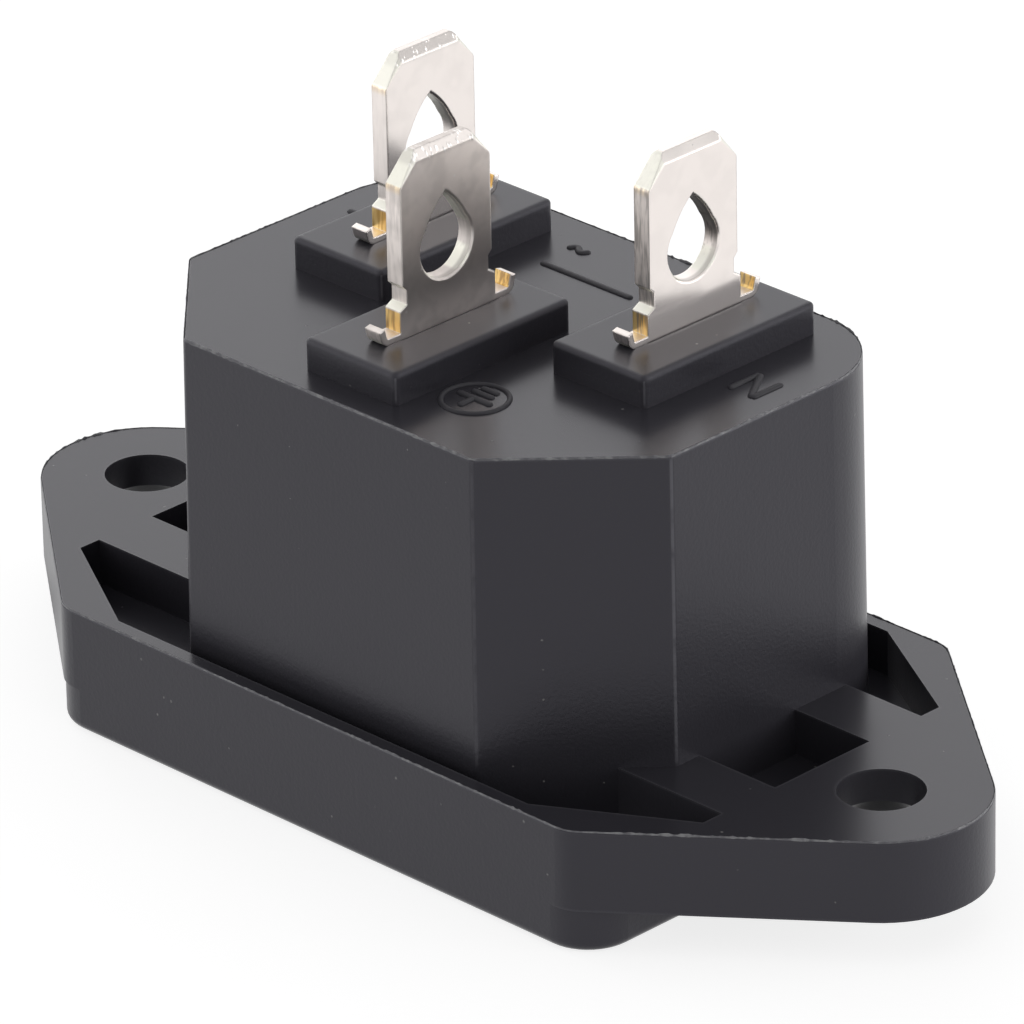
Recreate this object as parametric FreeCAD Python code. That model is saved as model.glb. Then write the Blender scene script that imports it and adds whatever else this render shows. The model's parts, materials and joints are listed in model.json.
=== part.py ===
"""Panel power inlet: one moulded housing and three staked contacts, in millimetres.

Z is up: the front face stands on z = 0 and the rear tabs point up.
X runs along the screw pitch, and -Y is the side with the chamfered body corners.
"""
import math
import os

import FreeCAD
import Part

# Body behind the flange, measured at its rear face
BODY_L = 25.95
BODY_W = 18.0
BODY_H = 12.8
BODY_CHAMFER = 5.22
BODY_ROUND_R = 4.1
BODY_ARRIS_R = 0.35
BODY_EDGE_R = 0.1
BODY_DRAFT = 0.15

# Flange round the body: two tapered ears with screw holes, a bezel proud of them in front
SCREW_PITCH = 40.0
SCREW_HOLE_D = 3.4
SCREW_LAND = 1.35
EAR_T = 3.35
EAR_RIM = 0.55
FLANGE_SIDE = 1.42
FLANGE_CORNER_END = 0.74
FLANGE_CORNER_R = 1.6
FLANGE_EDGE_R = 0.1
BEZEL_END = 1.95
BEZEL_H = 1.8
BEZEL_CORNER_R = 2.05
BEZEL_EDGE_R = 0.4

# Cored pockets in the back of the flange
POCKET_WEB = 1.45
POCKET_LAND = 1.33
POCKET_RIM = 0.65
POCKET_SLANT_BACK = 2.55
POCKET_STEP = 1.0
POCKET_HALF_W = 2.57
RIB_W = 2.85

# Plug recess
WALL = 1.2
BACK_WALL = 1.9
RECESS_DRAFT = 0.1
RECESS_CORNER_R = 0.6
MOUTH_BEVEL = 0.45

# Pedestals on the rear face, one under each tab
PEDESTAL_FACE = 2.05
PEDESTAL_SIDE = 2.14
PEDESTAL_H = 1.3
PEDESTAL_CORNER_R = 0.22
PEDESTAL_EDGE_R = 0.18
PITCH_X = 14.0
ROW_Y = 3.05

# Contacts: pin in the recess, shoulder on the recess floor, tab behind
PIN_L = 2.0
PIN_W = 4.0
PIN_ROW_Y = 2.0
PIN_EDGE_R = 0.35
PIN_TIP = 1.3
PIN_TIP_IN = 0.55
LIVE_PIN_TIP_Z = 3.0
EARTH_PIN_TIP_Z = 2.2
SHOULDER_L = 2.6
SHOULDER_H = 0.8
SHOULDER_OVER = 0.35
TAB_T = 0.8
TAB_W = 4.7
TAB_OVER_EYE = 2.1
TAB_SHIFT_Y = 0.18
TAB_CORNER_Y = 0.95
TAB_CORNER_Z = 1.25
TAB_TIP_R = 0.25
TAB_BEVEL_FACE = 0.38
TAB_BEVEL_T = 0.25
TAB_CORNER_BEVEL_FACE = 0.2
TAB_CORNER_BEVEL_T = 0.15
BASE_STEP = 0.15
BASE_H = 1.15
FLARE_H = 0.2
NECK_STEP = 0.2
NECK_H = 0.6
EYE_R = 1.35
EYE_Z = 3.14
EYE_TIP_H = 0.8
EYE_BULGE = 0.1
EYE_RIM = 0.07
SLOT_CLEARANCE = 0.01

# Staked curls of metal that lock each contact on its pedestal
CURL_T = 0.27
CURL_BEND_R = 0.12
CURL_LEAN = 15.0
CURL_FRONT_FOOT = 0.63
CURL_FRONT_LIP = 0.36
CURL_BACK_FOOT = 0.6
CURL_BACK_LIP = 0.42

# Places and sizes that follow from the ones above
FLANGE_BACK_Z = BEZEL_H + EAR_T
POCKET_FLOOR_Z = BEZEL_H + POCKET_WEB
REAR_Z = FLANGE_BACK_Z + BODY_H
RECESS_FLOOR_Z = REAR_Z - BACK_WALL
PEDESTAL_TOP_Z = REAR_Z + PEDESTAL_H
FLANGE_Y = BODY_W / 2 + FLANGE_SIDE
FLANGE_CORNER_X = BODY_L / 2 + FLANGE_CORNER_END
SCREW_SINK = EAR_T - SCREW_LAND
EAR_R = SCREW_HOLE_D / 2 + SCREW_SINK + EAR_RIM
BASE_HALF = TAB_W / 2 + BASE_STEP


def vec(x, y, z):
    return FreeCAD.Vector(x, y, z)


def outline(corners, z):
    """Closed wire at height z through (x, y, r) corners, each rounded with radius r."""
    ends = []
    for i, (x, y, r) in enumerate(corners):
        here = vec(x, y, z)
        back = vec(*corners[i - 1][:2], z) - here
        ahead = vec(*corners[(i + 1) % len(corners)][:2], z) - here
        half = back.getAngle(ahead) / 2
        back.normalize()
        ahead.normalize()
        if r == 0:
            ends.append((here, None, here))
            continue
        middle = back + ahead
        middle.normalize()
        reach = r / math.tan(half)
        ends.append((here + back * reach, here + middle * (r / math.sin(half) - r), here + ahead * reach))
    edges = []
    for i, (start, mid, end) in enumerate(ends):
        if mid is not None:
            edges.append(Part.Arc(start, mid, end).toShape())
        edges.append(Part.LineSegment(end, ends[(i + 1) % len(ends)][0]).toShape())
    return Part.Wire(edges)


def prism(corners, z, height):
    return Part.Face(outline(corners, z)).extrude(vec(0, 0, height))


def rectangle(length, width, r, x=0.0, y=0.0):
    return [(x + sx * length / 2, y + sy * width / 2, r) for sx, sy in ((1, 1), (-1, 1), (-1, -1), (1, -1))]


def edges_at(shape, z):
    """Edges of the shape that lie in the plane at height z."""
    return [e for e in shape.Edges if abs(e.BoundBox.ZMin - z) < 1e-6 and abs(e.BoundBox.ZMax - z) < 1e-6]


def socket_corners(length, width, chamfer, round_r, arris_r):
    """Outline of the socket: two chamfered corners on -Y, two rounded corners on +Y."""
    x, y = length / 2, width / 2
    return [
        (x, y, round_r),
        (-x, y, round_r),
        (-x, -y + chamfer, arris_r),
        (-x + chamfer, -y, arris_r),
        (x - chamfer, -y, arris_r),
        (x, -y + chamfer, arris_r),
    ]


def body_corners(grow, arris_r):
    """Body outline at the rear face, grown outward by an even margin."""
    chamfer = BODY_CHAMFER + grow * (2 - math.sqrt(2))
    return socket_corners(BODY_L + 2 * grow, BODY_W + 2 * grow, chamfer, BODY_ROUND_R + grow, arris_r)


def loft(corners_low, z_low, corners_high, z_high):
    return Part.makeLoft([outline(corners_low, z_low), outline(corners_high, z_high)], True, True)


def flange():
    """Flange plate whose tapered sides run tangent to the round ear ends, with its front bezel."""
    run_x = SCREW_PITCH / 2 - FLANGE_CORNER_X
    taper = math.atan2(FLANGE_Y, run_x) - math.asin(EAR_R / math.hypot(run_x, FLANGE_Y))
    tip_x = FLANGE_CORNER_X + FLANGE_Y / math.tan(taper)
    plate = prism(
        [
            (tip_x, 0, EAR_R),
            (FLANGE_CORNER_X, FLANGE_Y, FLANGE_CORNER_R),
            (-FLANGE_CORNER_X, FLANGE_Y, FLANGE_CORNER_R),
            (-tip_x, 0, EAR_R),
            (-FLANGE_CORNER_X, -FLANGE_Y, FLANGE_CORNER_R),
            (FLANGE_CORNER_X, -FLANGE_Y, FLANGE_CORNER_R),
        ],
        BEZEL_H,
        EAR_T,
    )
    plate = plate.makeFillet(FLANGE_EDGE_R, edges_at(plate, FLANGE_BACK_Z))
    bezel = prism(rectangle(BODY_L + 2 * BEZEL_END, 2 * FLANGE_Y, BEZEL_CORNER_R), 0, BEZEL_H + EAR_T / 2)
    bezel = bezel.makeFillet(BEZEL_EDGE_R, edges_at(bezel, 0))
    return plate.fuse(bezel)


def pockets():
    """Cored pockets: one long pocket on each side of the body and a short one at each end."""
    depth = FLANGE_BACK_Z - POCKET_FLOOR_Z
    end_x = (SCREW_PITCH - SCREW_HOLE_D) / 2 - POCKET_LAND
    slant_x = FLANGE_CORNER_X - POCKET_SLANT_BACK
    rib_y = POCKET_HALF_W + RIB_W
    rim_y = FLANGE_Y - POCKET_RIM
    tools = [prism(rectangle(2 * end_x, 2 * POCKET_HALF_W, 0), POCKET_FLOOR_Z, depth)]
    for side in (1, -1):
        long_pocket = [
            (end_x, side * rib_y, 0),
            (end_x, side * (rib_y + POCKET_STEP), 0),
            (slant_x, side * rim_y, 0),
            (-slant_x, side * rim_y, 0),
            (-end_x, side * (rib_y + POCKET_STEP), 0),
            (-end_x, side * rib_y, 0),
        ]
        tools.append(prism(long_pocket, POCKET_FLOOR_Z, depth))
    return tools


def body():
    """Drafted block behind the flange, standing on the pocket floor."""
    low = body_corners(BODY_DRAFT * (REAR_Z - POCKET_FLOOR_Z) / BODY_H, BODY_ARRIS_R)
    block = loft(low, POCKET_FLOOR_Z, body_corners(0, BODY_ARRIS_R), REAR_Z)
    return block.makeFillet(BODY_EDGE_R, edges_at(block, REAR_Z))


def recess():
    """Room for the plug: the body outline less the wall, opening slightly to a bevelled mouth."""
    def inner(z, grow=0.0):
        draft = RECESS_DRAFT * (1 - z / RECESS_FLOOR_Z)
        return body_corners(draft + grow - WALL, RECESS_CORNER_R)

    room = loft(inner(0), 0, inner(RECESS_FLOOR_Z), RECESS_FLOOR_Z)
    mouth = loft(inner(0, MOUTH_BEVEL), 0, inner(MOUTH_BEVEL), MOUTH_BEVEL)
    return [room, mouth]


def screw_hole(x):
    """Straight land at the back of the ear, then a 90 degree countersink to its front."""
    r = SCREW_HOLE_D / 2
    land = Part.makeCylinder(r, EAR_T, vec(x, 0, BEZEL_H))
    cone = Part.makeCone(r + SCREW_SINK, r, SCREW_SINK, vec(x, 0, BEZEL_H))
    return [land, cone]


def pedestal(x, y):
    corners = rectangle(TAB_T + 2 * PEDESTAL_FACE, 2 * (BASE_HALF + PEDESTAL_SIDE), PEDESTAL_CORNER_R, x, y)
    block = prism(corners, REAR_Z - BODY_EDGE_R, PEDESTAL_H + BODY_EDGE_R)
    return block.makeFillet(PEDESTAL_EDGE_R, edges_at(block, PEDESTAL_TOP_Z))


def slot(x, y):
    """Slot through the back wall and pedestal for the root of a tab."""
    corners = rectangle(TAB_T + 2 * SLOT_CLEARANCE, 2 * (BASE_HALF + SLOT_CLEARANCE), 0, x, y + TAB_SHIFT_Y)
    return prism(corners, RECESS_FLOOR_Z, BACK_WALL + PEDESTAL_H)


def housing(places):
    shape = flange().cut(pockets())
    shape = shape.fuse([body()] + [pedestal(x, y) for x, y in places])
    cutters = recess() + [slot(x, y) for x, y in places]
    for side in (1, -1):
        cutters += screw_hole(side * SCREW_PITCH / 2)
    return shape.cut(cutters).removeSplitter()


def plate_yz(edges, x, thickness):
    """Sheet cut to a closed outline in the YZ plane and centred on x."""
    face = Part.Face(Part.Wire(edges))
    face.translate(vec(x - thickness / 2, 0, 0))
    return face.extrude(vec(thickness, 0, 0))


def chain(points):
    """Straight edges through (y, z) points, closed back to the first."""
    spots = [vec(0, y, z) for y, z in points]
    return [Part.LineSegment(a, b).toShape() for a, b in zip(spots, spots[1:] + spots[:1])]


def eye_outline(x, y, z, r):
    """Drop-shaped wire: a circle of radius r round (y, z), with bulged flanks to a point above it."""
    scale = r / EYE_R
    lean = math.acos(EYE_R / (EYE_R + EYE_TIP_H))
    centre = vec(x, y, z)
    point = centre + vec(0, 0, (EYE_R + EYE_TIP_H) * scale)
    flanks = []
    for side in (1, -1):
        outward = vec(0, side * math.sin(lean), math.cos(lean))
        touch = centre + outward * r
        flanks.append((touch, (touch + point) * 0.5 + outward * (EYE_BULGE * scale)))
    (touch_r, mid_r), (touch_l, mid_l) = flanks
    edges = [
        Part.Arc(touch_r, centre - vec(0, 0, r), touch_l).toShape(),
        Part.Arc(touch_l, mid_l, point).toShape(),
        Part.Arc(point, mid_r, touch_r).toShape(),
    ]
    return Part.Wire(edges)


def eye(x, y, z):
    """Punched eye through the tab, its rim bevelled on both faces."""
    cutters = [Part.Face(eye_outline(x - TAB_T, y, z, EYE_R)).extrude(vec(2 * TAB_T, 0, 0))]
    for face in (1, -1):
        skin = x + face * TAB_T / 2
        wide = eye_outline(skin + face * EYE_RIM, y, z, EYE_R + 2 * EYE_RIM)
        narrow = eye_outline(skin - face * EYE_RIM, y, z, EYE_R)
        cutters.append(Part.makeLoft([wide, narrow], True, True))
    return cutters


def blade(x, y):
    """Tab with its root: cut corners, notched neck, wider base and a drop-shaped eye."""
    half = TAB_W / 2
    eye_z = PEDESTAL_TOP_Z + EYE_Z
    eye_top = eye_z + EYE_R + EYE_TIP_H
    top = eye_top + TAB_OVER_EYE
    base_z = PEDESTAL_TOP_Z + BASE_H
    neck_z = base_z + FLARE_H
    right = [
        (BASE_HALF, RECESS_FLOOR_Z),
        (BASE_HALF, base_z),
        (half - NECK_STEP, neck_z),
        (half - NECK_STEP, neck_z + NECK_H),
        (half, neck_z + NECK_H + NECK_STEP),
        (half, top - TAB_CORNER_Z),
        (half - TAB_CORNER_Y, top),
    ]
    left = [(-dy, z) for dy, z in reversed(right)]
    sheet = plate_yz(chain([(y + dy, z) for dy, z in right + left]), x, TAB_T)
    across = [e for z in (top, top - TAB_CORNER_Z) for e in edges_at(sheet, z) if e.BoundBox.YLength < 1e-6]
    sheet = sheet.makeFillet(TAB_TIP_R, across)

    cutters = eye(x, y, eye_z)
    for face in (1, -1):
        skin = x + face * TAB_T / 2
        tips = [vec(skin, y + side * (half - TAB_CORNER_Y), top) for side in (1, -1)]
        cutters.append(top_bevel(*tips, face))
        for side, tip in zip((1, -1), tips):
            inward = vec(0, -side * TAB_CORNER_Z, -TAB_CORNER_Y).normalize()
            foot = vec(skin, y + side * half, top - TAB_CORNER_Z)
            cutters.append(corner_bevel(foot, tip, inward, face))
    return sheet.cut(cutters)


def bevel_section(spot, inward, face, width, depth):
    """Section of the wedge that takes a bevel of this width and depth off one face at a tab edge."""
    out = inward * -TAB_T
    lift = vec(face * TAB_T, 0, 0)
    low = spot + inward * width
    deep = spot - vec(face * depth, 0, 0)
    wedge = [low, deep, deep + out, spot + lift + out, low + lift]
    return Part.makePolygon(wedge + wedge[:1])


def top_bevel(a, b, face):
    """Even bevel along the top edge from a to b."""
    over = (b - a).normalize() * TAB_T
    section = bevel_section(a - over, vec(0, 0, -1), face, TAB_BEVEL_FACE, TAB_BEVEL_T)
    return Part.Face(section).extrude(b - a + over * 2)


def corner_bevel(foot, tip, inward, face):
    """Bevel along a cut corner: full size at its tip, fading out to nothing at its foot."""
    past = tip + (tip - foot)
    section = bevel_section(past, inward, face, 2 * TAB_CORNER_BEVEL_FACE, 2 * TAB_CORNER_BEVEL_T)
    return Part.makeLoft([Part.Vertex(foot), section], True, True)


def curl(x, y, side, foot, lip):
    """Curl of metal pushed outward from the base: foot flat on the pedestal, round bend, leaning lip."""
    lean = math.radians(CURL_LEAN)
    bend_h = CURL_T + CURL_BEND_R

    def spot(r, angle, rise=0.0):
        """Point at radius r round the bend, raised along the lip."""
        s = foot + r * math.sin(angle) + rise * math.sin(lean)
        h = bend_h - r * math.cos(angle) + rise * math.cos(lean)
        return vec(0, y + side * (BASE_HALF + s), PEDESTAL_TOP_Z + h)

    outer, inner = bend_h, CURL_BEND_R
    turn = math.pi / 2 - lean
    root_low = vec(0, y + side * BASE_HALF, PEDESTAL_TOP_Z)
    root_high = root_low + vec(0, 0, CURL_T)
    edges = [
        Part.LineSegment(root_low, spot(outer, 0)).toShape(),
        Part.Arc(spot(outer, 0), spot(outer, turn / 2), spot(outer, turn)).toShape(),
        Part.LineSegment(spot(outer, turn), spot(outer, turn, lip)).toShape(),
        Part.LineSegment(spot(outer, turn, lip), spot(inner, turn, lip)).toShape(),
        Part.LineSegment(spot(inner, turn, lip), spot(inner, turn)).toShape(),
        Part.Arc(spot(inner, turn), spot(inner, turn / 2), spot(inner, 0)).toShape(),
        Part.LineSegment(spot(inner, 0), root_high).toShape(),
        Part.LineSegment(root_high, root_low).toShape(),
    ]
    return plate_yz(edges, x, TAB_T)


def pin(x, y, tip_z):
    """Pin of the recess with rounded long edges and a tapered tip."""
    full = rectangle(PIN_L, PIN_W, PIN_EDGE_R, x, y)
    tip_l = PIN_L - 2 * PIN_TIP_IN
    tip = rectangle(tip_l, PIN_W - 2 * PIN_TIP_IN, min(PIN_EDGE_R, tip_l / 4), x, y)
    shank_z = tip_z + PIN_TIP
    shank = prism(full, shank_z, RECESS_FLOOR_Z - SHOULDER_H / 2 - shank_z)
    return shank.fuse(loft(tip, tip_z, full, shank_z))


def shoulder(x, pin_y, tab_y):
    """Stop that bears on the recess floor and joins the pin to the tab beside it."""
    low = min(pin_y - PIN_W / 2, tab_y - BASE_HALF) - SHOULDER_OVER
    high = max(pin_y + PIN_W / 2, tab_y + BASE_HALF) + SHOULDER_OVER
    corners = rectangle(SHOULDER_L, high - low, PIN_EDGE_R, x, (low + high) / 2)
    return prism(corners, RECESS_FLOOR_Z - SHOULDER_H, SHOULDER_H)


def contact(x, y, pin_y, tip_z):
    tab_y = y + TAB_SHIFT_Y
    parts = [
        shoulder(x, pin_y, tab_y),
        pin(x, pin_y, tip_z),
        curl(x, tab_y, -1, CURL_FRONT_FOOT, CURL_FRONT_LIP),
        curl(x, tab_y, 1, CURL_BACK_FOOT, CURL_BACK_LIP),
    ]
    return blade(x, tab_y).fuse(parts).removeSplitter()


LINE = (-PITCH_X / 2, ROW_Y)
NEUTRAL = (PITCH_X / 2, ROW_Y)
EARTH = (0.0, -ROW_Y)

shapes = {
    "housing": housing([LINE, NEUTRAL, EARTH]),
    "line_contact": contact(*LINE, PIN_ROW_Y, LIVE_PIN_TIP_Z),
    "neutral_contact": contact(*NEUTRAL, PIN_ROW_Y, LIVE_PIN_TIP_Z),
    "earth_contact": contact(*EARTH, -PIN_ROW_Y, EARTH_PIN_TIP_Z),
}
os.makedirs("parts", exist_ok=True)
for name, shape in shapes.items():
    print(name, "valid", shape.isValid(), "solids", len(shape.Solids), "volume", round(shape.Volume, 2))
    shape.exportStep("parts/" + name + ".step")
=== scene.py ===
# %% [markdown]
# # A panel power inlet in black plastic and plated brass
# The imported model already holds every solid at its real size. This lesson dresses it: first the
# camera, stage and light, then the finishes, then the small raised marks and the moulding flash.
# The frame loads first, because every later step measures it instead of repeating its numbers.

# %% Load the frame and keep its box
import json
import math

import bpy
import numpy as np
from mathutils import Matrix, Vector
from mathutils.geometry import convex_hull_2d


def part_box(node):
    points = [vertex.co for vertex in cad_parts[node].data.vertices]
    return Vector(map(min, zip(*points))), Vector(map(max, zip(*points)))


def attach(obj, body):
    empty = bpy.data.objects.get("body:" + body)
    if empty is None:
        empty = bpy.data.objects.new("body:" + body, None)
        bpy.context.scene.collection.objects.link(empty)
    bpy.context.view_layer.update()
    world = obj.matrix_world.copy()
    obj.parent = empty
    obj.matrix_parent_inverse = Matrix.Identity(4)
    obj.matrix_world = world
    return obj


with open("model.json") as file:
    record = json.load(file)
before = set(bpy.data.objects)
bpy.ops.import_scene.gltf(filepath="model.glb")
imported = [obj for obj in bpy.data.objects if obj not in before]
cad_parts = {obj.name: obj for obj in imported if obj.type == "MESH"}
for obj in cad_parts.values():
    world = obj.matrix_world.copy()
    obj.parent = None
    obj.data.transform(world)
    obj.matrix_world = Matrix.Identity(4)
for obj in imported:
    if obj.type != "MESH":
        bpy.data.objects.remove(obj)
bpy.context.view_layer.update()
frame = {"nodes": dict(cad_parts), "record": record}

MM = 0.001
housing = frame["nodes"]["housing"]
CONTACTS = ("line_contact", "neutral_contact", "earth_contact")
mounts = {mount["name"]: mount for mount in frame["record"]["mounts"]}
SCREW_X = mounts["panel_screws"]["dims"]["spacing_x_mm"] / 2

# %% [markdown]
# ## Measure the housing
# Marks and flash sit on the housing's flat back faces, so their heights are measured and not typed
# in. Every triangle that looks straight up votes for its own height with its area: the body's rear
# face and the back of the flange win by far, and the pedestals are simply the top of the housing.

# %% Heights of the flat faces
LEVEL_TOLERANCE = 0.001
STRAIGHT_UP = 0.999


def read(items, name, width):
    """One property of all vertices or polygons of a mesh as an array."""
    values = np.empty(len(items) * width)
    items.foreach_get(name, values)
    return values.reshape(-1, width)


points = read(housing.data.vertices, "co", 3) / MM
area = read(housing.data.polygons, "area", 1)[:, 0]
normals = read(housing.data.polygons, "normal", 3)
heights = (read(housing.data.polygons, "center", 3)[:, 2] / MM).round(3)
looks_up = normals[:, 2] > STRAIGHT_UP
levels, level_of = np.unique(heights[looks_up], return_inverse=True)
widest = levels[np.argsort(np.bincount(level_of, weights=area[looks_up]))[-2:]]
FLANGE_BACK_Z, REAR_Z = np.sort(widest)
PEDESTAL_TOP_Z = points[:, 2].max()
print("flange back", FLANGE_BACK_Z, "rear face", REAR_Z, "pedestals", PEDESTAL_TOP_Z.round(3))

# %% [markdown]
# ## Find the chamfers
# Two corners of the body are cut off flat, and their edges get rubbed first. To place that wear,
# the oblique triangles of the body's walls vote with their area for the angle that they are turned
# from the earth side. Small fillets have oblique triangles too, but the chamfers outweigh them.

# %% Direction of the chamfers
WALL_MARGIN = 1.0
OBLIQUE = (20, 70)

turned = np.degrees(np.arctan2(np.abs(normals[:, 0]), -normals[:, 1])).round(1)
on_body = (heights > FLANGE_BACK_Z + WALL_MARGIN) & (heights < REAR_Z - WALL_MARGIN)
oblique = on_body & (turned > OBLIQUE[0]) & (turned < OBLIQUE[1])
angles, angle_of = np.unique(turned[oblique], return_inverse=True)
CHAMFER_TURN = angles[np.bincount(angle_of, weights=area[oblique]).argmax()]
print("chamfers turned", CHAMFER_TURN, "degrees from the earth side")

# %% [markdown]
# ## Camera
# The part was seen from its chamfered corner, a little above the tabs, through a long lens that
# keeps parallel edges almost parallel. A camera could be tracked to an empty, but two angles, a
# distance and a small roll say the same and can be read at a glance.

# %% Camera
AIM = Vector((0.47, 0.199, 10.12)) * MM
AZIMUTH = math.radians(45.545)
ELEVATION = math.radians(25.903)
ROLL = math.radians(-1.182)
DISTANCE = 383.227 * MM
LENS = 352.063
CLIP_SPAN = 100

back = Vector((
    math.sin(AZIMUTH) * math.cos(ELEVATION),
    -math.cos(AZIMUTH) * math.cos(ELEVATION),
    math.sin(ELEVATION),
))
right = Vector((0, 0, 1)).cross(back).normalized()
turn = Matrix((right, back.cross(right), back)).transposed() @ Matrix.Rotation(ROLL, 3, "Z")
camera_data = bpy.data.cameras.new("camera")
camera_data.lens = LENS
camera_data.clip_start = DISTANCE / CLIP_SPAN
camera_data.clip_end = DISTANCE * CLIP_SPAN
camera = bpy.data.objects.new("camera", camera_data)
camera.matrix_world = Matrix.Translation(AIM + back * DISTANCE) @ turn.to_4x4()
bpy.context.scene.collection.objects.link(camera)
bpy.context.scene.camera = camera
bpy.context.scene.view_settings.view_transform = "Standard"
print("camera at mm", [round(v / MM, 1) for v in camera.matrix_world.translation])

# %% [markdown]
# ## Helpers for node trees
# Materials here are wired in code. `add` makes one node and fills or links its inputs in a single
# call, and the small functions after it do sums, soft steps and mixes, so that a recipe below
# reads from top to bottom like a sentence.

# %% Node helpers
def plug(tree, socket, value):
    """Links another node's socket, or sets a plain value."""
    if isinstance(value, bpy.types.NodeSocket):
        tree.links.new(value, socket)
    else:
        socket.default_value = value


def add(tree, kind, inputs=None, **settings):
    """Adds a shader node: settings are its own options, inputs are values or other sockets."""
    made = tree.nodes.new("ShaderNode" + kind)
    for name, value in settings.items():
        setattr(made, name, value)
    for name, value in (inputs or {}).items():
        plug(tree, made.inputs[name], value)
    return made


def math_node(tree, operation, a, b=0.0, c=0.0):
    """Result of one sum on sockets or numbers."""
    return add(tree, "Math", {0: a, 1: b, 2: c}, operation=operation).outputs[0]


def band(tree, value, low, high):
    """0 up to low and 1 from high on, with a smooth step between; low above high turns it round."""
    inputs = {"Value": value, "From Min": low, "From Max": high}
    return add(tree, "MapRange", inputs, interpolation_type="SMOOTHSTEP").outputs["Result"]


def between(tree, value, ends):
    """Straight scale from 0..1 to the two ends."""
    inputs = {"Value": value, "To Min": ends[0], "To Max": ends[1]}
    return add(tree, "MapRange", inputs).outputs["Result"]


def mix_colour(tree, share, a, b):
    """Colour a where share is 0 and b where it is 1."""
    made = add(tree, "Mix", data_type="RGBA")
    for label, kind, value in (("Factor", "VALUE", share), ("A", "RGBA", a), ("B", "RGBA", b)):
        plug(tree, next(s for s in made.inputs if s.name == label and s.type == kind), value)
    return next(s for s in made.outputs if s.type == "RGBA")


def all_of(tree, *masks):
    """Product of masks: 1 only where every one of them is."""
    out = masks[0]
    for mask in masks[1:]:
        out = math_node(tree, "MULTIPLY", out, mask)
    return out


def any_of(tree, *masks):
    """Largest of masks: 1 where any of them is."""
    out = masks[0]
    for mask in masks[1:]:
        out = math_node(tree, "MAXIMUM", out, mask)
    return out


def object_mm(tree):
    """Object coordinates in millimetres: the vector, and its parts by name."""
    place = add(tree, "TexCoord").outputs["Object"]
    scaled = add(tree, "VectorMath", {0: place, "Scale": 1 / MM}, operation="SCALE").outputs[0]
    return scaled, add(tree, "SeparateXYZ", {0: scaled}).outputs


def facing(tree):
    """The direction that a surface faces: its signed parts, and the size of each part."""
    signed = add(tree, "SeparateXYZ", {0: add(tree, "NewGeometry").outputs["Normal"]}).outputs
    return signed, [math_node(tree, "ABSOLUTE", signed[axis]) for axis in "XYZ"]


def new_material(name):
    """Empty node material with a Principled shader: the material, its tree and the shader."""
    made = bpy.data.materials.new(name)
    made.use_nodes = True
    tree = made.node_tree
    tree.nodes.clear()
    shader = add(tree, "BsdfPrincipled")
    add(tree, "OutputMaterial", {"Surface": shader.outputs[0]})
    return made, tree, shader


# %% [markdown]
# ## Stage: pale floor, white surroundings
# The part stands on its front face on a white table in a white tent. The floor is a real diffuse
# sheet, so it keeps the shadow, and a share of plain glow lifts it to white for the camera and for
# reflections. Light Path tells those rays apart from the light that bounces onto the part. Under
# the screw holes the table lies in the part's own shade, so there the glow is taken out of
# reflections, or the countersinks would mirror a white that isn't there. The floor lies a hair
# below the front face, because two faces in one plane would flicker when seen from below.

# %% Floor and world
FLOOR_HALF = 2.0
FLOOR_GAP = 0.02 * MM
FLOOR_ALBEDO = 0.42
FLOOR_GLOW = 0.8
SHADE_R = (4.0, 6.0)
AMBIENT = 0.47


def seen_ray(tree):
    """1 for camera, glossy and transmission rays, 0 for light that bounces off dull surfaces."""
    path = add(tree, "LightPath").outputs
    return any_of(tree, path["Is Camera Ray"], path["Is Glossy Ray"], path["Is Transmission Ray"])


def in_the_open(tree):
    """0 where gloss would mirror the shaded floor under a screw hole, 1 elsewhere.

    The shade is a disc round each hole's axis: (|x| - pitch / 2)^2 + y^2 < r^2, with a soft rim.
    """
    _, at = object_mm(tree)
    beside = math_node(tree, "SUBTRACT", math_node(tree, "ABSOLUTE", at["X"]), SCREW_X)
    y_squared = math_node(tree, "MULTIPLY", at["Y"], at["Y"])
    away = math_node(tree, "SQRT", math_node(tree, "MULTIPLY_ADD", beside, beside, y_squared))
    glossy_ray = add(tree, "LightPath").outputs["Is Glossy Ray"]
    shade = all_of(tree, band(tree, away, SHADE_R[1], SHADE_R[0]), glossy_ray)
    return math_node(tree, "SUBTRACT", 1.0, shade)


floor_mesh = bpy.data.meshes.new("floor")
square = np.array([(-1, -1, 0), (1, -1, 0), (1, 1, 0), (-1, 1, 0)])
corners = square * FLOOR_HALF - (0, 0, FLOOR_GAP)
floor_mesh.from_pydata(corners.tolist(), [], [(0, 1, 2, 3)])
floor = bpy.data.objects.new("floor", floor_mesh)
bpy.context.scene.collection.objects.link(floor)

floor_paint = bpy.data.materials.new("white_table")
floor_paint.use_nodes = True
tree = floor_paint.node_tree
tree.nodes.clear()
sheet = add(tree, "BsdfDiffuse", {"Color": (FLOOR_ALBEDO,) * 3 + (1,)})
strength = all_of(tree, seen_ray(tree), in_the_open(tree), FLOOR_GLOW)
glow = add(tree, "Emission", {"Strength": strength})
both = add(tree, "AddShader", {0: sheet.outputs[0], 1: glow.outputs[0]})
clear = add(tree, "BsdfTransparent")
under = add(tree, "NewGeometry").outputs["Backfacing"]
shown = add(tree, "MixShader", {0: under, 1: both.outputs[0], 2: clear.outputs[0]})
add(tree, "OutputMaterial", {"Surface": shown.outputs[0]})
floor_mesh.materials.append(floor_paint)

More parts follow.
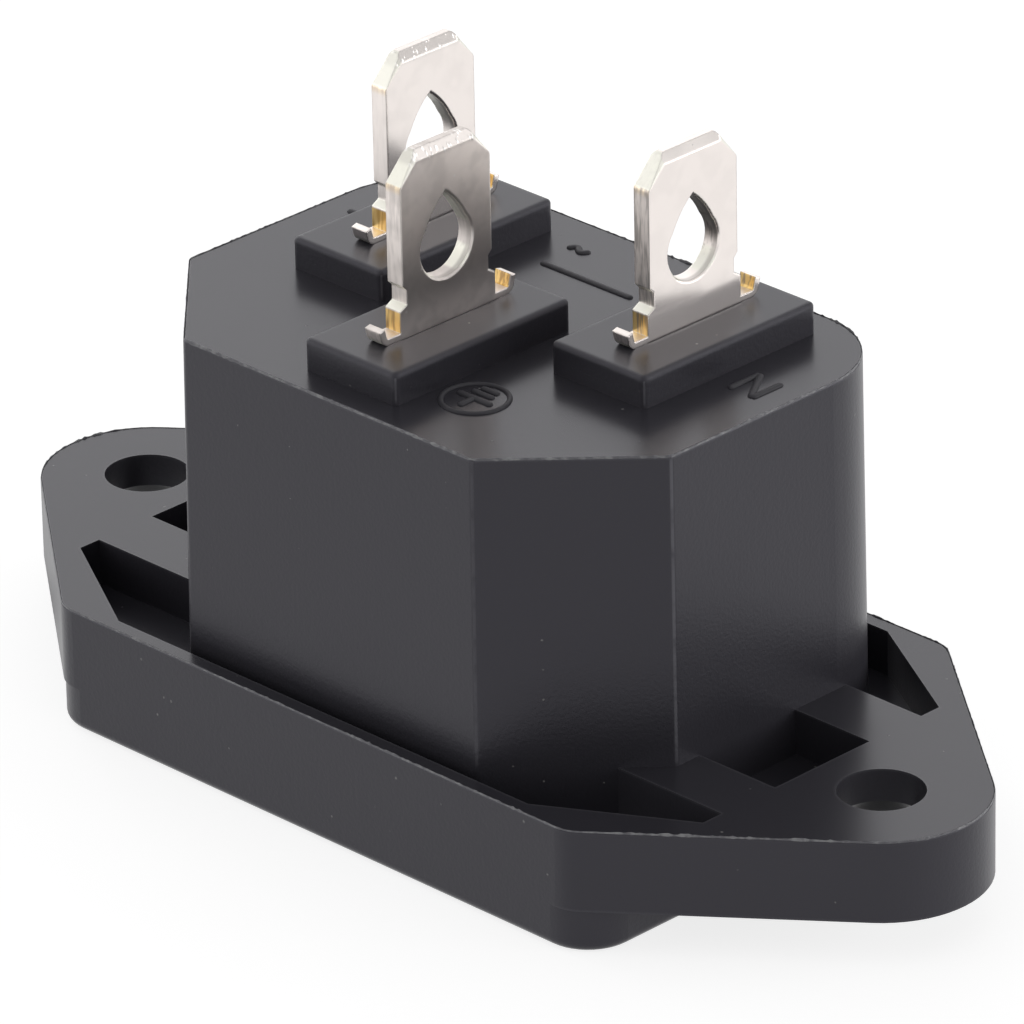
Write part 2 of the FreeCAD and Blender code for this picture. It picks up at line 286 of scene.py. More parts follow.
world = bpy.data.worlds.new("tent")
world.use_nodes = True
bpy.context.scene.world = world
tree = world.node_tree
tree.nodes.clear()
level = between(tree, seen_ray(tree), (AMBIENT, 1.0))
sky = add(tree, "Background", {"Strength": level})
add(tree, "OutputWorld", {"Surface": sky.outputs[0]})
print("floor", 2 * FLOOR_HALF, "m wide, ambient level", AMBIENT)

# %% [markdown]
# ## Light
# Soft boxes stand round the part as in a product photo, all of them behind it or low at its sides.
# The corner that faces the camera gets none of its own, which is why the chamfered face is the
# darkest. Each lamp is an area light given by its direction, its size and its level.

# %% Lamps
LAMP_DISTANCE = 0.6
LAMP_SIZE = 0.45
LAMPS = {
    "back": {"to": (-0.65, 0.65, 0.45), "level": 0.12},
    "left_back": {"to": (-0.97, 0.1, 0.4), "level": 0.20},
    "left_low": {"to": (-0.75, -0.65, 0.12), "level": 0.24},
    "right_low": {"to": (0.62, 0.78, 0.06), "level": 0.45},
    "right": {"to": (0.97, 0.2, 0.12), "level": 0.2},
}


def soft_box(name, to, level):
    """Square area lamp that looks at the part; level is the light it puts on a facing white card.

    A small lamp of power P far away lights a card with P / (pi d^2), so P = level pi^2 d^2 for a
    card that then looks as bright as its own colour times level.
    """
    data = bpy.data.lights.new(name, "AREA")
    data.shape = "SQUARE"
    data.size = LAMP_SIZE
    data.energy = level * math.pi ** 2 * LAMP_DISTANCE ** 2
    lamp = bpy.data.objects.new(name, data)
    away = Vector(to).normalized()
    aimed = away.to_track_quat("Z", "Y").to_matrix().to_4x4()
    lamp.matrix_world = Matrix.Translation(away * LAMP_DISTANCE) @ aimed
    bpy.context.scene.collection.objects.link(lamp)


for name, lamp in LAMPS.items():
    soft_box(name, **lamp)
print("lamps", list(LAMPS))

# %% [markdown]
# ## Shared effects as node groups
# Grain, rubbed edges with their painted highlight, and specks appear on more than one finish. Each
# is a node group with named inputs and a mask or height as output, built once and placed where a
# material needs it. Patterns are fed with Object coordinates in millimetres, so that a scale reads
# as marks per millimetre.

# %% Effect groups
EDGE_PROBES = 3
EDGE_STEP = (0.03, 0.2)
SHAKES_PER_MM = 14.0
SHAKE_MM = 0.06


def new_group(name, inputs, output):
    """Node group with the given socket types: its tree, its inputs and its output socket."""
    tree = bpy.data.node_groups.new(name, "ShaderNodeTree")
    for label, kind in inputs.items():
        tree.interface.new_socket(label, in_out="INPUT", socket_type="NodeSocket" + kind)
    tree.interface.new_socket(output, in_out="OUTPUT", socket_type="NodeSocketFloat")
    given = tree.nodes.new("NodeGroupInput").outputs
    return tree, given, tree.nodes.new("NodeGroupOutput").inputs[output]


def use(tree, group, **inputs):
    """Places a group in a material and returns its output."""
    made = tree.nodes.new("ShaderNodeGroup")
    made.node_tree = group
    for name, value in inputs.items():
        plug(tree, made.inputs[name], value)
    return made.outputs[0]


def make_grain():
    """Cloudy noise of three sizes, each half as large as the one before."""
    tree, given, out = new_group("grain", {"Vector": "Vector", "Per_mm": "Float"}, "Height")
    noise = add(
        tree, "TexNoise",
        {"Vector": given["Vector"], "Scale": given["Per_mm"], "Detail": 2.0, "Roughness": 0.55},
    )
    tree.links.new(noise.outputs["Fac"], out)
    return tree


def make_worn_lit_edge():
    """Convex edges, found by looking into the solid from each point, broken up by noise."""
    inputs = {"Vector": "Vector", "Width_mm": "Float", "Breaks_per_mm": "Float", "Cover": "Float"}
    tree, given, out = new_group("worn_lit_edge", inputs, "Mask")
    inner = add(
        tree, "AmbientOcclusion",
        {"Distance": math_node(tree, "MULTIPLY", given["Width_mm"], MM)},
        inside=True, only_local=True, samples=EDGE_PROBES,
    )
    edge = math_node(tree, "SUBTRACT", 1.0, inner.outputs["AO"])
    noise = add(
        tree, "TexNoise",
        {"Vector": given["Vector"], "Scale": given["Breaks_per_mm"], "Detail": 3.0},
    )
    patchy = math_node(tree, "ADD", noise.outputs["Fac"], given["Cover"])
    tree.links.new(band(tree, math_node(tree, "MULTIPLY", edge, patchy), *EDGE_STEP), out)
    return tree


def make_specks():
    """Specks: a soft ragged dot round the middle of some cells of a random cell pattern."""
    inputs = {"Vector": "Vector", "Cells_per_mm": "Float", "Size_mm": "Float", "Share": "Float"}
    tree, given, out = new_group("specks", inputs, "Mask")
    noise = add(tree, "TexNoise", {"Vector": given["Vector"], "Scale": SHAKES_PER_MM})
    ragged = add(
        tree, "VectorMath",
        {0: noise.outputs["Color"], 1: (SHAKE_MM,) * 3, 2: given["Vector"]},
        operation="MULTIPLY_ADD",
    )
    cells = add(tree, "TexVoronoi", {"Vector": ragged.outputs[0], "Scale": given["Cells_per_mm"]})
    pick = add(tree, "SeparateColor", {"Color": cells.outputs["Color"]}).outputs
    chosen = math_node(tree, "LESS_THAN", pick["Red"], given["Share"])
    size = math_node(tree, "MULTIPLY", given["Size_mm"], given["Cells_per_mm"])
    radius = math_node(tree, "MULTIPLY", size, pick["Green"])
    dot = band(tree, cells.outputs["Distance"], radius, 0.0)
    tree.links.new(math_node(tree, "MULTIPLY", dot, chosen), out)
    return tree


grain, worn_lit_edge, specks = make_grain(), make_worn_lit_edge(), make_specks()
print("groups", [group.name for group in bpy.data.node_groups])

# %% [markdown]
# ## Worn upright edges, partly painted highlight
# Handling rubs the sharp upright edges grey, most of all beside the chamfers and on the corners of
# the pedestals. The grey lines are also a painted highlight, where the rounding of an edge would
# catch the light. They could be painted by hand on a UV map. Here they are found by direction: the
# small rounding of an edge faces half way between its two walls, as no other face does.

# %% Lines down the edges
LINE_SPREAD = (14.0, 4.0)
LINE_BREAKS = (0.1, 0.6)
LINE_FADE = (0.3, 0.2)
WORN_LIT_LINES = (
    {"turn": CHAMFER_TURN / 2, "low": FLANGE_BACK_Z, "high": REAR_Z, "strength": 0.3},
    {"turn": CHAMFER_TURN / 2 + 45, "low": FLANGE_BACK_Z, "high": REAR_Z, "strength": 0.7},
    {"turn": 45.0, "low": REAR_Z, "high": PEDESTAL_TOP_Z, "strength": 0.7},
)


def corner_lines(tree, place, up):
    """Mask of broken lines down the upright edges: wear, and a painted highlight on their rounding.

    A line is where |x| sin(turn) - y cos(turn) of the normal, the cosine of the angle between it
    and the edge's own direction, comes close to 1; noise breaks it, and it fades at both ends.
    """
    signed, (aside, _, _) = facing(tree)
    breaks = band(tree, use(tree, grain, Vector=place, Per_mm=1.1), *LINE_BREAKS)
    far, near = (math.cos(math.radians(angle)) for angle in LINE_SPREAD)
    found = []
    for edge in WORN_LIT_LINES:
        turn, low, high = math.radians(edge["turn"]), edge["low"], edge["high"]
        share = math_node(tree, "MULTIPLY", aside, math.sin(turn))
        likeness = math_node(tree, "MULTIPLY_ADD", signed["Y"], -math.cos(turn), share)
        line = band(tree, likeness, far, near)
        start = band(tree, up, low, low + LINE_FADE[0])
        end = band(tree, up, high, high - LINE_FADE[1])
        found.append(all_of(tree, line, all_of(tree, start, end), breaks, edge["strength"]))
    return any_of(tree, *found)


print("rubbed lines at degrees", [round(float(edge["turn"]), 1) for edge in WORN_LIT_LINES])

# %% [markdown]
# ## Satin black moulding
# The housing is one moulding in black plastic. Its own colour is nearly black: most of the grey in
# the picture is the white room mirrored in a dull surface, so roughness decides the look far more
# than colour. The side walls have a fine spark-eroded grain and faint drag lines along the draw of
# the mould, while the back faces are smooth. Edges are rubbed grey, partly as a painted highlight,
# and a little dust lies on it.
# The pedestals have softer edges than the rest, which a Bevel node adds to the shading alone.

# %% Plastic
PLASTIC = (0.034, 0.0325, 0.0395, 1)
# Grey of worn edges, partly a painted highlight on their rounding.
PLASTIC_WORN_AND_LIT = (0.152, 0.15, 0.166, 1)
PLASTIC_SHINE = 0.42
PLASTIC_SHINE_TINT = (0.91, 0.895, 1.0, 1)
PLASTIC_ROUGHNESS = (0.21, 0.265)
DUST = (0.5, 0.49, 0.47, 1)
FLANGE_WEAR_AND_HIGHLIGHT = 0.25
WALL = (0.5, 0.2)
WALL_ROUGHER = 0.1
DRAW_STRETCH = 0.04
DRAG_SHARE = 0.25
RELIEF = 0.022 * MM
RELIEF_STRENGTH = 0.4
PEDESTAL_ROUND = 0.25 * MM
PEDESTAL_ROUGHER = 0.08
PEDESTAL_EDGE_ROUGHER = 0.3
BEVEL_PROBES = 3


def satin_black():
    """Black plastic: wall grain, drag lines, edges of wear and painted highlight, and dust."""
    made, tree, shader = new_material("satin_black_moulding")
    place, at = object_mm(tree)
    edges = use(tree, worn_lit_edge, Vector=place, Width_mm=0.12, Breaks_per_mm=1.3, Cover=0.3)
    over_flange = band(tree, at["Z"], FLANGE_BACK_Z + 0.1, FLANGE_BACK_Z + 0.4)
    amount = between(tree, over_flange, (FLANGE_WEAR_AND_HIGHLIGHT, 1.0))
    below_top = band(tree, at["Z"], PEDESTAL_TOP_Z - 0.2, PEDESTAL_TOP_Z - 0.5)
    all_round = all_of(tree, edges, amount, below_top)
    wear_and_highlight = any_of(tree, all_round, corner_lines(tree, place, at["Z"]))
    dusty = use(tree, specks, Vector=place, Cells_per_mm=2.5, Size_mm=0.09, Share=0.06)
    fine = use(tree, grain, Vector=place, Per_mm=6.5)
    cloud = use(tree, grain, Vector=place, Per_mm=0.4)
    drawn = add(tree, "Mapping", {"Vector": place, "Scale": (1.0, 1.0, DRAW_STRETCH)}).outputs[0]
    drag = use(tree, grain, Vector=drawn, Per_mm=4.0)

    # Edges turn grey: wear, and a painted highlight where their rounding would catch light.
    worn_and_lit = mix_colour(tree, wear_and_highlight, PLASTIC, PLASTIC_WORN_AND_LIT)
    faint = math_node(tree, "MULTIPLY", dusty, cloud)
    plug(tree, shader.inputs["Base Color"], mix_colour(tree, faint, worn_and_lit, DUST))
    shader.inputs["Specular IOR Level"].default_value = PLASTIC_SHINE
    shader.inputs["Specular Tint"].default_value = PLASTIC_SHINE_TINT

    _, (_, _, level) = facing(tree)
    wall = band(tree, level, *WALL)
    smooth = between(tree, cloud, PLASTIC_ROUGHNESS)
    high = band(tree, at["Z"], REAR_Z + 0.5, REAR_Z + 0.8)
    on_top = math_node(tree, "MULTIPLY_ADD", edges, PEDESTAL_EDGE_ROUGHER, PEDESTAL_ROUGHER)
    duller = any_of(tree, all_of(tree, wall, WALL_ROUGHER), all_of(tree, high, on_top))
    plug(tree, shader.inputs["Roughness"], math_node(tree, "ADD", smooth, duller))

    texture = math_node(tree, "MULTIPLY_ADD", drag, DRAG_SHARE, fine)
    height = math_node(tree, "MULTIPLY_ADD", texture, wall, dusty)
    radius = math_node(tree, "MULTIPLY", high, PEDESTAL_ROUND)
    soft_edge = add(tree, "Bevel", {"Radius": radius}, samples=BEVEL_PROBES).outputs[0]
    relief = {"Height": height, "Strength": RELIEF_STRENGTH, "Distance": RELIEF}
    bump = add(tree, "Bump", {**relief, "Normal": soft_edge})
    plug(tree, shader.inputs["Normal"], bump.outputs["Normal"])
    return made


def dress(node, material):
    """Puts a material in every slot of a CAD node."""
    materials = frame["nodes"][node].data.materials
    if not materials:
        materials.append(material)
    for i in range(len(materials)):
        materials[i] = material


plastic = satin_black()
dress("housing", plastic)
print("housing wears", plastic.name)

# %% [markdown]
# ## Where the contacts are bare
# The contacts are brass strip, plated first and punched afterwards. The sides of the base and the
# inside of the back curl were sheared after plating, so they show bare yellow brass, and the
# slanted corners show a trace of it. Masks on Object coordinates and on the direction of the face
# pick those places out, so nothing has to be unwrapped or painted.

# %% Bare brass
BASE_HALF = 2.5
BASE_H = 1.15
CORNER_H = 1.25
CUT_EDGE = (0.8, 0.95)
TRACE = 0.35


def bare_brass(tree, across, up, top):
    """Mask of brass: sides of the base, inside of the curls, a trace where the corners start."""
    signed, (_, facing_y, _) = facing(tree)
    aside = math_node(tree, "ABSOLUTE", across)
    low = band(tree, up, PEDESTAL_TOP_Z + BASE_H - 0.02, PEDESTAL_TOP_Z + BASE_H - 0.1)
    edge = band(tree, facing_y, *CUT_EDGE)
    base = all_of(tree, edge, low, band(tree, aside, BASE_HALF + 0.08, BASE_HALF + 0.03))
    inward = band(tree, math_node(tree, "MULTIPLY", signed["Y"], across), -0.5, -1.2)
    curl = all_of(tree, inward, low, band(tree, aside, BASE_HALF + 0.1, BASE_HALF + 0.2))
    below_corner = band(tree, up, top - CORNER_H - 0.35, top - CORNER_H - 0.05)
    return any_of(tree, base, curl, all_of(tree, edge, below_corner, TRACE))


print("brass shows up to", BASE_H, "mm above the pedestals")

# %% [markdown]
# ## Where the contacts were torn
# A punch cuts the strip part of the way and tears the rest. Cut edges are streaked along the
# stroke and end in a fine burr on one side, with a dark line of painted shade in the groove beside
# it, and the far half of the eye's wall is torn dull. The streaks come in as a mask, because each
# contact has its own share of them.

# %% Sheared edges
EYE_HALF = 1.6
# Where a painted shade line runs beside the burr of each cut edge, and how dark it is.
BURR_SHADE_X = 0.34
BURR_SHADE = 0.7
TORN_EYE = 0.6


def sheared_and_shaded_edge(tree, streaks, at, across, tab, top):
    """Mask of dulled metal and painted shade: streaks on the cut edges, a painted shade line along
    one side of them, and the torn side of the eye.
    """
    _, (facing_x, facing_y, _) = facing(tree)
    edge = band(tree, facing_y, *CUT_EDGE)
    beside = math_node(tree, "SUBTRACT", at["X"], float(tab[0]))
    # Painted shade: a dark line along the burr side of each cut edge.
    burr_shade = band(tree, beside, BURR_SHADE_X, BURR_SHADE_X + 0.03)
    torn = all_of(
        tree,
        band(tree, facing_x, 0.5, 0.3),
        band(tree, math_node(tree, "ABSOLUTE", across), EYE_HALF, EYE_HALF - 0.1),
        band(tree, at["Z"], top - CORNER_H, top - CORNER_H - 0.1),
        band(tree, beside, 0.02, 0.2),
    )
    return any_of(
        tree,
        all_of(tree, band(tree, facing_y, 0.75, 0.95), streaks),
        all_of(tree, edge, burr_shade, BURR_SHADE),
        all_of(tree, torn, TORN_EYE),
    )


print("burr line", BURR_SHADE_X, "mm off the middle of the strip")

# %% [markdown]
# ## Plated contacts
# Plating is a soft white mirror, so what the contacts show is mostly the tent, and small changes
# of roughness and tilt matter more than colour. The three come from one tool but differ: the earth
# contact is dull and darker along the middle of its blade, the neutral one leans and is streaked,
# and the line one is nearly clean. One recipe takes those differences as numbers.

# %% Finish of each contact
PLATING = (0.85, 0.79, 0.755, 1)
PLATING_BEAD = (0.93, 0.91, 0.89, 1)
PRESSED = (0.77, 0.72, 0.69, 1)
FRESH_CUT = (0.84, 0.825, 0.75, 1)
BRASS = (0.93, 0.68, 0.29, 1)
BRASS_DARK = (0.62, 0.37, 0.10, 1)
DULL_METAL_AND_SHADE = (0.36, 0.335, 0.32, 1)
FINISH = {
    "line_contact": {
        "roughness": (0.12, 0.2), "lean": 0.0, "streaks": 0.1,
        "torn_tip": 0.6, "blotches": 0.07, "blade_darkening": 0.0,
    },
    "neutral_contact": {
        "roughness": (0.12, 0.2), "lean": 2.2, "streaks": 0.75,
        "torn_tip": 0.0, "blotches": 0.06, "blade_darkening": 0.0,
    },
    "earth_contact": {
        "roughness": (0.29, 0.4), "lean": -2.5, "streaks": 0.3,
        "torn_tip": 1.0, "blotches": 0.3, "blade_darkening": 0.45,
    },
}
print("finishes for", list(FINISH))

# %% Plated brass
EDGE_ROUGHER = 0.22
EDGE_ROUND = 0.1 * MM
EDGE_ROUND_PROBES = 4
BEVEL_H = 0.38
SLANT = (0.3, 0.45)
STREAK_STRETCH = (4.0, 4.0, 0.5)
TOOTH_STRETCH = (1.0, 2.4, 0.9)
TIP_DULL = 0.3
BEAD_H = 0.015
FOOT_H = 0.2


def plated_brass(node, tab, roughness, lean, streaks, torn_tip, blotches, blade_darkening):
    """Plating with bare brass, dulled metal and a painted shade line on sheared faces; tab is the
    middle of the eye in mm.

    Lean is the angle in degrees by which the blade is bent back: a height that falls with z tilts
    its reflection. Streaks, torn_tip and blotches say how strongly cut edges, tip and faces are
    marked, and blade_darkening how much darker the middle of the blade is.
    """
    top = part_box(node)[1][2] / MM
    foot = PEDESTAL_TOP_Z + FOOT_H
    made, tree, shader = new_material("plated_" + node)
    place, at = object_mm(tree)
    across = math_node(tree, "SUBTRACT", at["Y"], float(tab[1]))
    signed, (facing_x, facing_y, facing_z) = facing(tree)
    cloud = use(tree, grain, Vector=place, Per_mm=0.9)
    drawn = add(tree, "Mapping", {"Vector": place, "Scale": STREAK_STRETCH}).outputs[0]
    lines = band(tree, use(tree, grain, Vector=drawn, Per_mm=1.6), 0.42, 0.66)
    slanted = band(tree, facing_z, *SLANT)
    near_top = band(tree, at["Z"], top - 0.6, top - 0.5)
    bevel = all_of(tree, slanted, band(tree, facing_x, *SLANT), near_top)
    cut_corner = all_of(tree, slanted, band(tree, facing_y, *SLANT))
    dull_and_shaded = sheared_and_shaded_edge(tree, all_of(tree, lines, streaks), at, across, tab, top)
    dusty = use(tree, specks, Vector=place, Cells_per_mm=2.2, Size_mm=0.1, Share=0.12)
    toothed = add(tree, "Mapping", {"Vector": place, "Scale": TOOTH_STRETCH}).outputs[0]
    tears = use(tree, specks, Vector=toothed, Cells_per_mm=3.4, Size_mm=0.24, Share=0.55)
    tip = band(tree, at["Z"], top - BEVEL_H - 0.2, top - BEVEL_H)
    beads = all_of(tree, tip, tears, torn_tip)
    blotched = all_of(tree, band(tree, cloud, 0.4, 0.65), blotches)
    below_tip = band(tree, at["Z"], top - 1.5, top - 6.0)
    # The middle of the blade is darker, fading out towards its foot and its tip.
    darkened = all_of(tree, below_tip, band(tree, at["Z"], foot, foot + 2.0), blade_darkening)

    colour = mix_colour(tree, blotched, PLATING, DULL_METAL_AND_SHADE)
    colour = mix_colour(tree, darkened, colour, DULL_METAL_AND_SHADE)
    colour = mix_colour(tree, bevel, colour, PRESSED)
    colour = mix_colour(tree, cut_corner, colour, FRESH_CUT)
    yellow = mix_colour(tree, lines, BRASS, BRASS_DARK)
    colour = mix_colour(tree, bare_brass(tree, across, at["Z"], top), colour, yellow)
    # Dull metal on cut edges and in the eye, with the painted shade line beside the burr.
    colour = mix_colour(tree, dull_and_shaded, colour, DULL_METAL_AND_SHADE)
    colour = mix_colour(tree, all_of(tree, tip, torn_tip, TIP_DULL), colour, DULL_METAL_AND_SHADE)
    colour = mix_colour(tree, any_of(tree, dusty, beads), colour, PLATING_BEAD)
    plug(tree, shader.inputs["Base Color"], colour)
    plug(tree, shader.inputs["Metallic"], math_node(tree, "SUBTRACT", 1.0, dusty))
    edge_on = band(tree, facing_x, 0.75, 0.5)
    rough = math_node(tree, "MULTIPLY_ADD", edge_on, EDGE_ROUGHER, between(tree, cloud, roughness))
    plug(tree, shader.inputs["Roughness"], rough)

    flat = band(tree, facing_x, 0.9, 0.97)
    bent = all_of(tree, at["Z"], signed["X"], flat, -math.tan(math.radians(lean)))
    height = math_node(tree, "MULTIPLY_ADD", beads, BEAD_H, bent)
    round_edge = add(tree, "Bevel", {"Radius": EDGE_ROUND}, samples=EDGE_ROUND_PROBES).outputs[0]
    bump = add(tree, "Bump", {"Height": height, "Distance": MM, "Normal": round_edge})
    plug(tree, shader.inputs["Normal"], bump.outputs["Normal"])
    return made


for node in CONTACTS:
    tab = np.array(mounts[node.replace("contact", "tab")]["pos_m"]) / MM
    dress(node, plated_brass(node, tab, **FINISH[node]))
    print(node, "tab at mm", tab.round(2), "wears", frame["nodes"][node].data.materials[0].name)

# %% [markdown]
# ## A ridge along a path
# Raised marks and moulding flash are the same kind of form: a small round ridge that follows a
# line on the surface. A curve object with a bevel would do, but a numpy sweep keeps each ridge's
# width and height free to change along the way, and it ends as an ordinary closed mesh.

# %% Ridge sweep
UP = np.array((0.0, 0.0, 1.0))
RIDGE_SIDES = 10


def along(path, closed):
    """Unit direction of travel at each point, from the points before and after it."""
    if closed:
        step = np.roll(path, -1, axis=0) - np.roll(path, 1, axis=0)
    else:
        step = np.gradient(path, axis=0)
    return step / np.linalg.norm(step, axis=1, keepdims=True)


def distance_run(path):
    """Length travelled up to each point: the sum of the steps before it."""
    return np.concatenate([[0.0], np.cumsum(np.linalg.norm(np.diff(path, axis=0), axis=1))])


def even(corners, step, closed):
    """Points a step apart along the straight runs between the corners."""
    line = np.vstack([corners, corners[:1]]) if closed else np.asarray(corners, float)
    run = distance_run(line)
    at = np.linspace(0, run[-1], max(int(run[-1] / step), 2), endpoint=not closed)
    return np.stack([np.interp(at, run, line[:, k]) for k in range(line.shape[1])], axis=1)


def ridge(path, half_width, height, closed):
    """Vertices and faces of an ellipse carried along a path.

    P(u, v) = path(u) + side(u) half_width(u) cos v + up height(u) sin v, where side is the
    direction of travel turned right, and v goes once round the ellipse. An open path gets a flat
    cap at each end.
    """
    side = np.cross(along(path, closed), UP)
    side /= np.linalg.norm(side, axis=1, keepdims=True)
    v = np.linspace(0, 2 * np.pi, RIDGE_SIDES, endpoint=False)
    wide = np.multiply.outer(np.broadcast_to(half_width, len(path)), np.cos(v))
    tall = np.multiply.outer(np.broadcast_to(height, len(path)), np.sin(v))
    grid = path[:, None] + side[:, None] * wide[..., None] + UP * tall[..., None]

    index = np.arange(grid.shape[0] * grid.shape[1]).reshape(grid.shape[:2])
    here, after = (index, np.roll(index, -1, axis=0)) if closed else (index[:-1], index[1:])
    quads = np.stack([here, after, np.roll(after, -1, axis=1), np.roll(here, -1, axis=1)], axis=-1)
    faces = quads.reshape(-1, 4).tolist()
    if not closed:
        faces += [index[0].tolist(), index[-1][::-1].tolist()]
    return grid.reshape(-1, 3), faces


def moulded_piece(name, ridges, material):
    """One smooth plastic piece from several ridges in mm, riding with the housing."""
    starts = np.cumsum([0] + [len(verts) for verts, _ in ridges])
    verts = np.vstack([verts for verts, _ in ridges]) * MM
    faces = [
        [int(i + start) for i in face]
        for start, (_, own_faces) in zip(starts, ridges)
        for face in own_faces
    ]
    mesh = bpy.data.meshes.new(name)
    mesh.from_pydata(verts.tolist(), [], faces)
    mesh.shade_smooth()
    mesh.materials.append(material)
    made = bpy.data.objects.new(name, mesh)
    bpy.context.scene.collection.objects.link(made)
    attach(made, "root")
    print(name, len(verts), "vertices", len(faces), "faces")


# %% [markdown]
# ## Strokes on the back
# The raised signs are made of a few strokes with round ends, a ring and a wave, all half sunk in
# the rear face. They could be text and curve objects, but strokes swept as ridges come out closed,
# and their height stays the same wherever they meet.

# %% Strokes, ring and wave
STROKE_HALF = 0.15
STROKE_H = 0.1
STROKE_STEP = 0.04
RING_HALF = 0.11
WAVE_POINTS = 40
SIGN_ROUGHNESS = (0.5, 0.65)


def sign_plastic():
    """The same black plastic, matte from the etched letters in the mould."""
    made, tree, shader = new_material("dull_sign")
    place, _ = object_mm(tree)
    cloud = use(tree, grain, Vector=place, Per_mm=3.0)
    shader.inputs["Base Color"].default_value = PLASTIC
    plug(tree, shader.inputs["Roughness"], between(tree, cloud, SIGN_ROUGHNESS))
    shader.inputs["Specular IOR Level"].default_value = PLASTIC_SHINE
    return made


def on_back(points):
    """Rear-face points as 3-D ones."""
    points = np.asarray(points, float)
    return np.column_stack([points, np.full(len(points), REAR_Z)])


def stroke(*corners):
    """Open ridge with round ends: its width falls as a quarter circle over the last half width."""
    path = even(on_back(corners), STROKE_STEP, False)
    run = distance_run(path)
    from_end = np.minimum(run, run[-1] - run) + STROKE_STEP / 8
    full = np.sqrt(1 - (1 - np.minimum(from_end / STROKE_HALF, 1)) ** 2)
    return ridge(path, STROKE_HALF * full, STROKE_H * full, False)


def ring(x, y, r):
    """Closed ridge on the circle (x + r cos t, y + r sin t)."""
    turn = np.arange(0, 2 * np.pi, STROKE_STEP / r)
    circle = np.column_stack([x + r * np.cos(turn), y + r * np.sin(turn)])
    return ridge(on_back(circle), RING_HALF, STROKE_H, True)


def wave(x, y, half, swing, tail):
    """Points of a wave sign: y swings as sin(pi t), and its ends turn on as t to the fifth."""
    t = np.linspace(-1, 1, WAVE_POINTS)
    return np.column_stack([x - half * t, y + swing * np.sin(np.pi * t) - tail * t ** 5])


dull_plastic = sign_plastic()
print("signs wear", dull_plastic.name)

# %% [markdown]
# ## Raised signs
# Such inlets carry moulded signs beside the terminals: an earth sign in a ring, N and L for the
# two live tabs, a wave for alternating current and a plain rule. They read from the far side, so
# right is -X and up is -Y. Each sign is one piece, and its strokes are given by their ends in
# millimetres.

# %% Signs
EARTH = (4.14, -5.21)
EARTH_R = 1.3
NEUTRAL = (11.06, 2.72)
LINE = (-11.2, 2.72)

moulded_piece("earth_sign", [
    ring(*EARTH, EARTH_R),
    stroke((EARTH[0] - 0.05, -6.03), (EARTH[0] - 0.05, -5.2)),
    stroke((3.21, -5.2), (5.02, -5.2)),
    stroke((3.52, -4.74), (4.66, -4.74)),
    stroke((3.63, -4.36), (4.55, -4.36)),
], dull_plastic)
moulded_piece("neutral_sign", [
    stroke((NEUTRAL[0] - 0.6, 1.88), (NEUTRAL[0] - 0.6, 3.58)),
    stroke((NEUTRAL[0] - 0.58, 3.58), (NEUTRAL[0] + 0.55, 1.86)),
    stroke((NEUTRAL[0] + 0.6, 1.86), (NEUTRAL[0] + 0.6, 3.52)),
], dull_plastic)
moulded_piece("line_sign", [
    stroke((LINE[0] + 0.45, 1.88), (LINE[0] + 0.45, 3.55)),
    stroke((LINE[0] + 0.45, 3.55), (LINE[0] - 0.5, 3.55)),
], dull_plastic)
moulded_piece("current_sign", [
    stroke(*wave(-2.47, 6.98, half=0.45, swing=0.14, tail=0.19)),
    stroke((-2.72, 5.18), (2.17, 5.18)),
], dull_plastic)

# %% [markdown]
# ## Moulding flash
# Where the mould halves meet, a little plastic squeezes out and leaves a ragged fin along the back
# edge of the flange and the rear edge of the body. It is thin and rubbed, so it looks paler than
# the walls, and its pale grey is partly a painted highlight for the light that such a fin catches.
# The outline is read from the housing as the hull of its vertices at that height, and a seeded
# random line decides where the fin stands up or sinks in.

# %% Flash fins
FLASH_SEED = 11
FLASH_STEP = 0.05
FLASH_LEAST = 0.05
FLASH_SWELL = 0.1
FLASH_SLIM = 0.19
FLASH_SLOW = 40
FLASH_QUICK = 3
EDGE_FILLET = 0.1
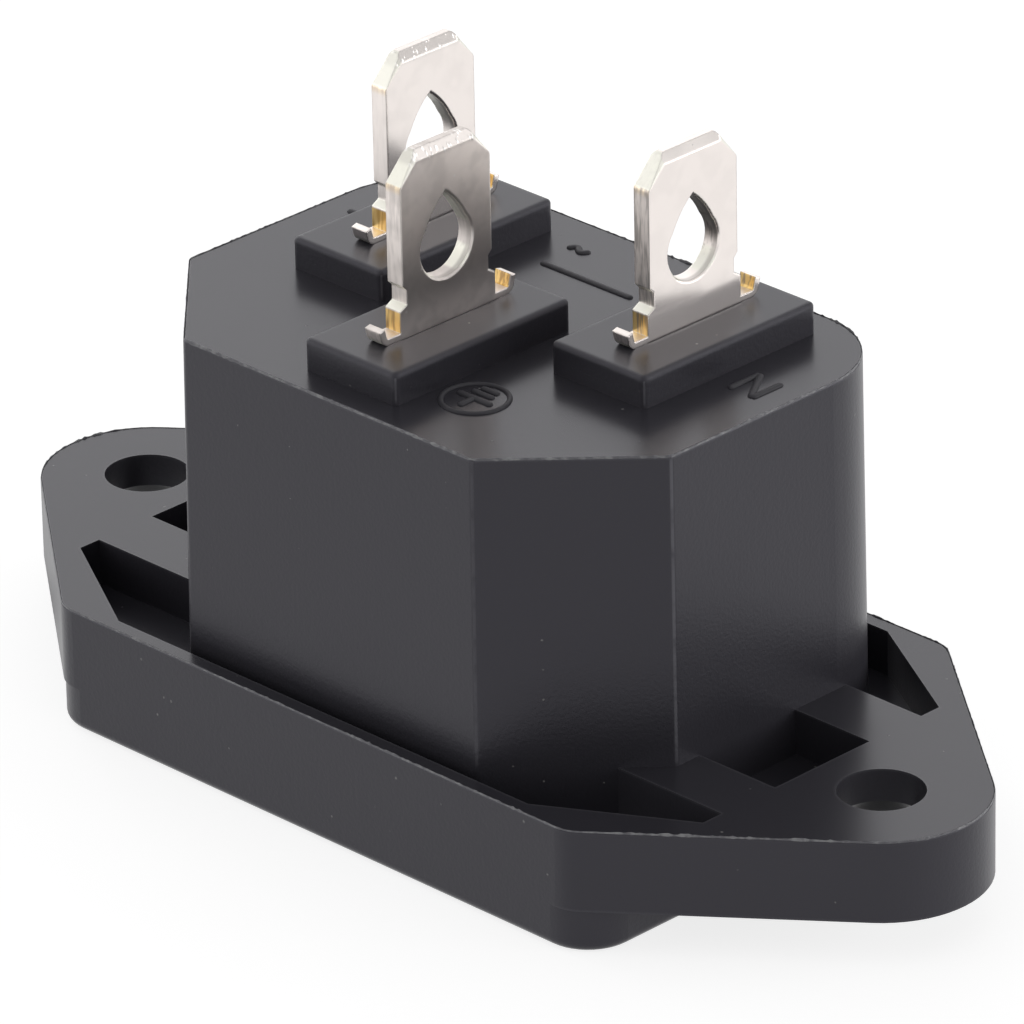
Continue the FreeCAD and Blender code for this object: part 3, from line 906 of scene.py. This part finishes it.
# Pale grey of the fin: thin, worn plastic, and partly a painted highlight.
FLASH_PALE_AND_LIT = (0.36, 0.36, 0.37, 1)
FLASH_PATCHES = (0.4, 0.68)
FLASH_ROUGHNESS = (0.4, 0.7)
rng = np.random.default_rng(FLASH_SEED)


def flash_plastic():
    """The same black plastic, thin and worn pale in patches, and partly a painted highlight."""
    made, tree, shader = new_material("worn_lit_flash")
    place, _ = object_mm(tree)
    patches = band(tree, use(tree, grain, Vector=place, Per_mm=2.6), *FLASH_PATCHES)
    colour = mix_colour(tree, patches, PLASTIC_WORN_AND_LIT, FLASH_PALE_AND_LIT)
    plug(tree, shader.inputs["Base Color"], colour)
    plug(tree, shader.inputs["Roughness"], between(tree, patches, FLASH_ROUGHNESS))
    shader.inputs["Specular IOR Level"].default_value = PLASTIC_SHINE
    return made


def outline_at(height):
    """Corners of the housing's outer outline at one height, anticlockwise."""
    flat = points[np.abs(points[:, 2] - height) < LEVEL_TOLERANCE][:, :2]
    return flat[convex_hull_2d([Vector(p) for p in flat])]


def wander(count, per_knot):
    """Random line from 0 to 1, straight between knots, that closes on itself."""
    knots = rng.random(count // per_knot)
    at = np.arange(len(knots) + 1) * count / len(knots)
    return np.interp(np.arange(count), at, np.append(knots, knots[0]))


def flash(name, height, material):
    """Fin round an outline, its middle on the edge fillet's 45 degree line.

    Its height is the least one plus the swell times a slow random line times the square of a quick
    one, and its width a small share of that, which keeps it inside the wall it stands on.
    """
    edge = even(outline_at(height), FLASH_STEP, True)
    edge = np.column_stack([edge, np.zeros(len(edge))])
    outward = np.cross(along(edge, True), UP)
    reach = EDGE_FILLET / math.sqrt(2)
    path = edge + outward * reach + UP * (height - EDGE_FILLET + reach)
    count = len(path)
    size = FLASH_LEAST + FLASH_SWELL * wander(count, FLASH_SLOW) * wander(count, FLASH_QUICK) ** 2
    moulded_piece(name, [ridge(path, FLASH_SLIM * size, size, True)], material)


pale_lit_flash = flash_plastic()
flash("flange_flash", FLANGE_BACK_Z, pale_lit_flash)
flash("rear_flash", REAR_Z, pale_lit_flash)
